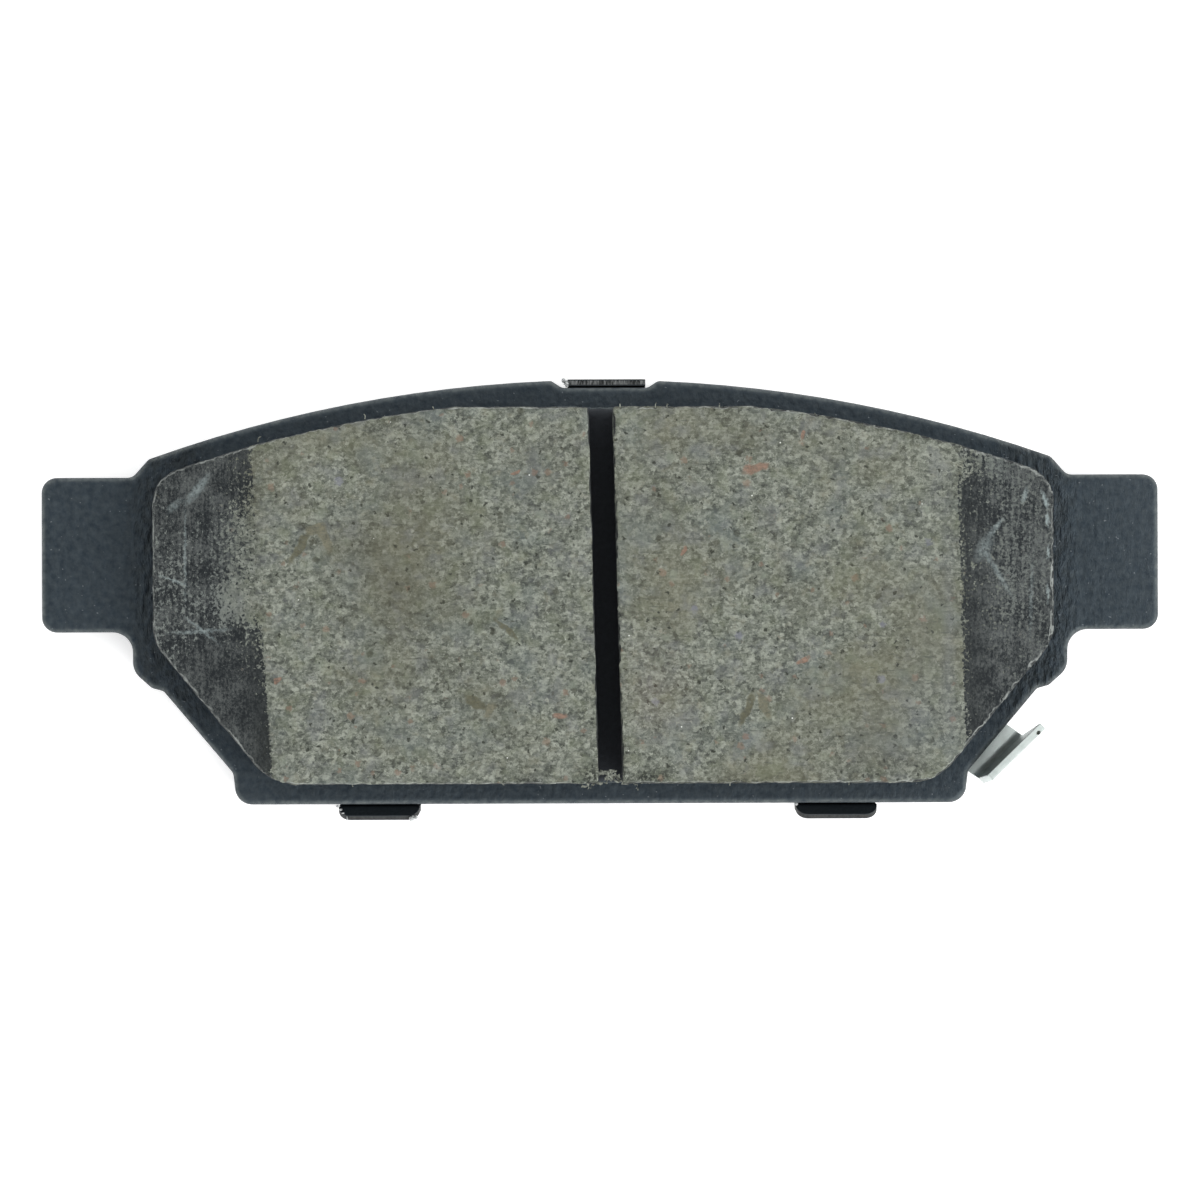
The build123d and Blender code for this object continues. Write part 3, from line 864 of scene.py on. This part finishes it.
# Crumbs on the tabs: where the tabs are cut, the coat's pale primer breaks off in small flakes
# that still cling to the tabs' corners.
tab_corners = [
    (-25.9, -20.35, -24.95, -21.5),
    (-18.9, -21.6, -18.1, -21.35),
    (19.0, -19.5, 19.3, -20.3),
    (-3.55, 21.7, -3.2, 21.2),
]
crumbs_each = 8
crumb_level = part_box("shim_sheet")[1].z * 1000 - 0.25
clear_selection()
bpy.ops.mesh.primitive_ico_sphere_add(subdivisions=1, radius=0.001)
crumbs = bpy.context.object
crumbs.name = "coat_crumbs"
crumbs.data.name = "coat_crumbs"
bpy.ops.object.mode_set(mode="EDIT")
bpy.ops.mesh.select_all(action="SELECT")
bpy.ops.mesh.delete(type="VERT")
for start_x, start_y, end_x, end_y in tab_corners:
    for step in range(crumbs_each):
        share = (step + random.uniform(-0.4, 0.4)) / (crumbs_each - 1)
        x = start_x + share * (end_x - start_x) + random.uniform(-0.08, 0.08)
        y = start_y + share * (end_y - start_y) + random.uniform(-0.08, 0.08)
        bpy.ops.mesh.primitive_ico_sphere_add(
            subdivisions=2,
            radius=random.uniform(0.00007, 0.00019),
            location=(x / 1000, y / 1000, (crumb_level + random.uniform(-0.2, 0.2)) / 1000),
            scale=[random.uniform(0.6, 1.5) for axis in "xyz"],
        )
bpy.ops.object.mode_set(mode="OBJECT")
roughen(crumbs, 0.12, 0.14)
material, place = start_material("coat_primer", specular=0.3)
dirt_and_painted_light = grain(material, place, 0.12, detail=3.0)
colour = blend(material, ease(material, dirt_and_painted_light, 0.35, 0.6), (0.16, 0.17, 0.17), (0.66, 0.68, 0.68))
primer = finish_material(material, colour, ease(material, dirt_and_painted_light, -1.2, 1.2), dirt_and_painted_light, 0.02)
give(crumbs, primer, "shim_rubber")

# Wear indicator: a spring-steel strip with a bright zinc finish, its edges tumbled round, riveted
# to the plate's back. The leg's outer side, picked out by its facing, is darker and duller in
# streaks, and its tip has a small dent, painted dark inside as painted shade.
tumbled_edge = 0.00009
dent_radius = 0.0002
strip_low, strip_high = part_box("wear_indicator")
nick = (strip_high.x * 1000 - 0.71, strip_low.y * 1000 + 5.15)
material, place = start_material("zinc_plate", metallic=0.68)
mottle = grain(material, place, 0.8, detail=4.0)
brush = grain(material, place, 0.14, detail=3.0, stretch=(1, 1, 6))
colour = blend(material, ease(material, mottle, 0.3, 0.7), (0.48, 0.54, 0.52), (0.57, 0.62, 0.60))
normal = add(material, "ShaderNodeTexCoord", output="Normal")
outer = measure(material, normal, (0.7, -0.7, 0.0))
streak_noise = grain(material, place, 0.5, detail=5.0, roughness=0.7, stretch=(1, 1, 3), shift=9.0)
streaked = ease(material, streak_noise, 0.36, 0.64)
dull = blend(material, streaked, (0.235, 0.268, 0.262), (0.410, 0.450, 0.438))
colour = blend(material, ease(material, outer, 0.2, 0.5), colour, dull)
# Painted shade: a dark patch round the dent at the leg's tip, for the shade inside it.
painted_dent_shade = patch(material, shifted(material, place, 0.3, 0.1, 5.0), nick, 0.46, 0.30, 60, blur=0.3)
colour = blend(material, painted_dent_shade, colour, (0.05, 0.055, 0.045))
zinc = finish_material(material, colour, ease(material, mottle, -0.4, 2.0), brush, 0.02)
strip = copy_node("wear_indicator", "wear_strip")
bpy.ops.object.mode_set(mode="EDIT")
bpy.ops.mesh.select_all(action="SELECT")
bpy.ops.mesh.dissolve_limited(angle_limit=math.radians(0.5))
bpy.ops.object.mode_set(mode="OBJECT")
apply_modifier(
    strip,
    "BEVEL",
    width=tumbled_edge,
    segments=3,
    limit_method="ANGLE",
    angle_limit=math.radians(40),
)
clear_selection()
strip.select_set(True)
bpy.ops.object.shade_smooth_by_angle(angle=math.radians(35))
clear_selection()
bpy.ops.mesh.primitive_uv_sphere_add(
    segments=20,
    ring_count=10,
    radius=dent_radius,
    location=(nick[0] / 1000, nick[1] / 1000, strip_high.z),
)
dent = bpy.context.object
apply_modifier(strip, "BOOLEAN", operation="DIFFERENCE", solver="EXACT", object=dent)
bpy.data.objects.remove(dent, do_unlink=True)
give(strip, zinc, "plated_spring_steel", "wear_indicator")

# Rivet: soft steel, driven through the strip into the plate's blind hole. The setting tool
# leaves a low dome with a round dimple in the middle of the head.
rivet_low, rivet_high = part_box("wear_indicator_rivet")
rivet_middle = (rivet_low + rivet_high) / 2
head_radius = (rivet_high.x - rivet_low.x) / 2
head_height = 0.0006
dome_rise = 0.0003
shank_radius = 0.0015
head_steps = [
    (0.00009, 0.00016),
    (0.00020, 0.00009),
    (0.0009, 0.00005),
    (0.00012, -0.00012),
    (0.0003, -0.00006),
]


def select_facing(piece, sign):
    """Edit mode with only the faces selected that face straight up or straight down."""
    bpy.ops.mesh.select_mode(type="FACE")
    bpy.ops.mesh.select_all(action="DESELECT")
    bpy.ops.object.mode_set(mode="OBJECT")
    for face in piece.data.polygons:
        face.select = face.normal.z * sign > 0.99
    bpy.ops.object.mode_set(mode="EDIT")


clear_selection()
bpy.ops.mesh.primitive_cylinder_add(vertices=64, radius=head_radius, depth=head_height - dome_rise)
rivet = bpy.context.object
rivet.name = "set_rivet"
rivet.data.name = "set_rivet"
bpy.ops.object.mode_set(mode="EDIT")
bpy.ops.transform.translate(
    value=(rivet_middle.x, rivet_middle.y, rivet_low.z + (head_height + dome_rise) / 2)
)
select_facing(rivet, -1)
for width, rise in head_steps:
    bpy.ops.mesh.inset(thickness=width, depth=rise)
select_facing(rivet, 1)
bpy.ops.mesh.inset(thickness=head_radius - shank_radius, depth=0.0)
bpy.ops.mesh.extrude_region_move(
    TRANSFORM_OT_translate={"value": (0, 0, rivet_high.z - rivet_low.z - head_height)}
)
bpy.ops.object.mode_set(mode="OBJECT")
apply_modifier(
    rivet,
    "BEVEL",
    width=0.00005,
    segments=2,
    limit_method="ANGLE",
    angle_limit=math.radians(20),
)
clear_selection()
rivet.select_set(True)
bpy.ops.object.shade_smooth_by_angle(angle=math.radians(35))
material, place = start_material("rivet_steel", metallic=0.7)
stain = grain(material, place, 0.9, detail=4.0)
marks = grain(material, place, 0.12, detail=3.0)
colour = blend(material, ease(material, stain, 0.3, 0.7), (0.36, 0.37, 0.36), (0.56, 0.57, 0.55))
steel = finish_material(material, colour, ease(material, stain, -0.5, 2.0), marks, 0.02)
give(rivet, steel, "rivet_steel", "wear_indicator_rivet")

# Floor, light and camera: a plain pale floor just under the pad, a light tent round it with two
# soft lamps, one low at the right, and a camera straight above.
floor_gap = 0.00002
lamps = [
    ((0.65, -0.35, 0.6), 0.9, 7.0),
    ((0.1, 0.3, 1.0), 0.6, 1.5),
]
bpy.ops.mesh.primitive_plane_add(size=3.0, location=(0, 0, cad_box[0][2] - floor_gap))
floor = bpy.context.object
floor.name = "floor"
material, place = start_material("floor_paint", specular=0.1)
tone = grain(material, place, 60.0)
colour = blend(material, tone, (0.93, 0.93, 0.93), (0.95, 0.95, 0.95))
paint = finish_material(material, colour, ease(material, tone, -3.0, 0.8), tone, 0.01)
shader = paint.node_tree.nodes["Principled BSDF"]
# The floor glows a little, as a light table, which washes out the shadows on it.
shader.inputs["Emission Color"].default_value = (1, 1, 1, 1)
shader.inputs["Emission Strength"].default_value = 0.4
floor.data.materials.append(paint)

world = bpy.data.worlds.new("studio")
bpy.context.scene.world = world
world.use_nodes = True
nodes = world.node_tree.nodes
links = world.node_tree.links
direction = nodes.new("ShaderNodeTexCoord")
split = nodes.new("ShaderNodeSeparateXYZ")
links.new(direction.outputs["Generated"], split.inputs[0])
tent = nodes.new("ShaderNodeMapRange")
links.new(split.outputs["Z"], tent.inputs["Value"])
for key, value in (("From Min", 0.35), ("From Max", 1.0), ("To Min", 1.45), ("To Max", 0.50)):
    tent.inputs[key].default_value = value
links.new(tent.outputs[0], nodes["Background"].inputs["Strength"])
nodes["Background"].inputs["Color"].default_value = (1.0, 1.0, 1.0, 1.0)
for place, size, power in lamps:
    bpy.ops.object.light_add(type="AREA", location=place)
    lamp = bpy.context.object
    lamp.data.size = size
    lamp.data.energy = power
    lamp.rotation_euler = Vector(place).to_track_quat("Z", "Y").to_euler()

plate_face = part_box("backing_plate")[1].z
view_width = 0.11814
view_distance = 0.5
bpy.ops.object.camera_add(
    location=(0, 0, plate_face + view_distance), rotation=(0, 0, math.radians(-0.2))
)
camera = bpy.context.object
camera.data.sensor_width = 36.0
camera.data.lens = camera.data.sensor_width * view_distance / view_width
bpy.context.scene.camera = camera
bpy.context.scene.view_settings.view_transform = "Standard"
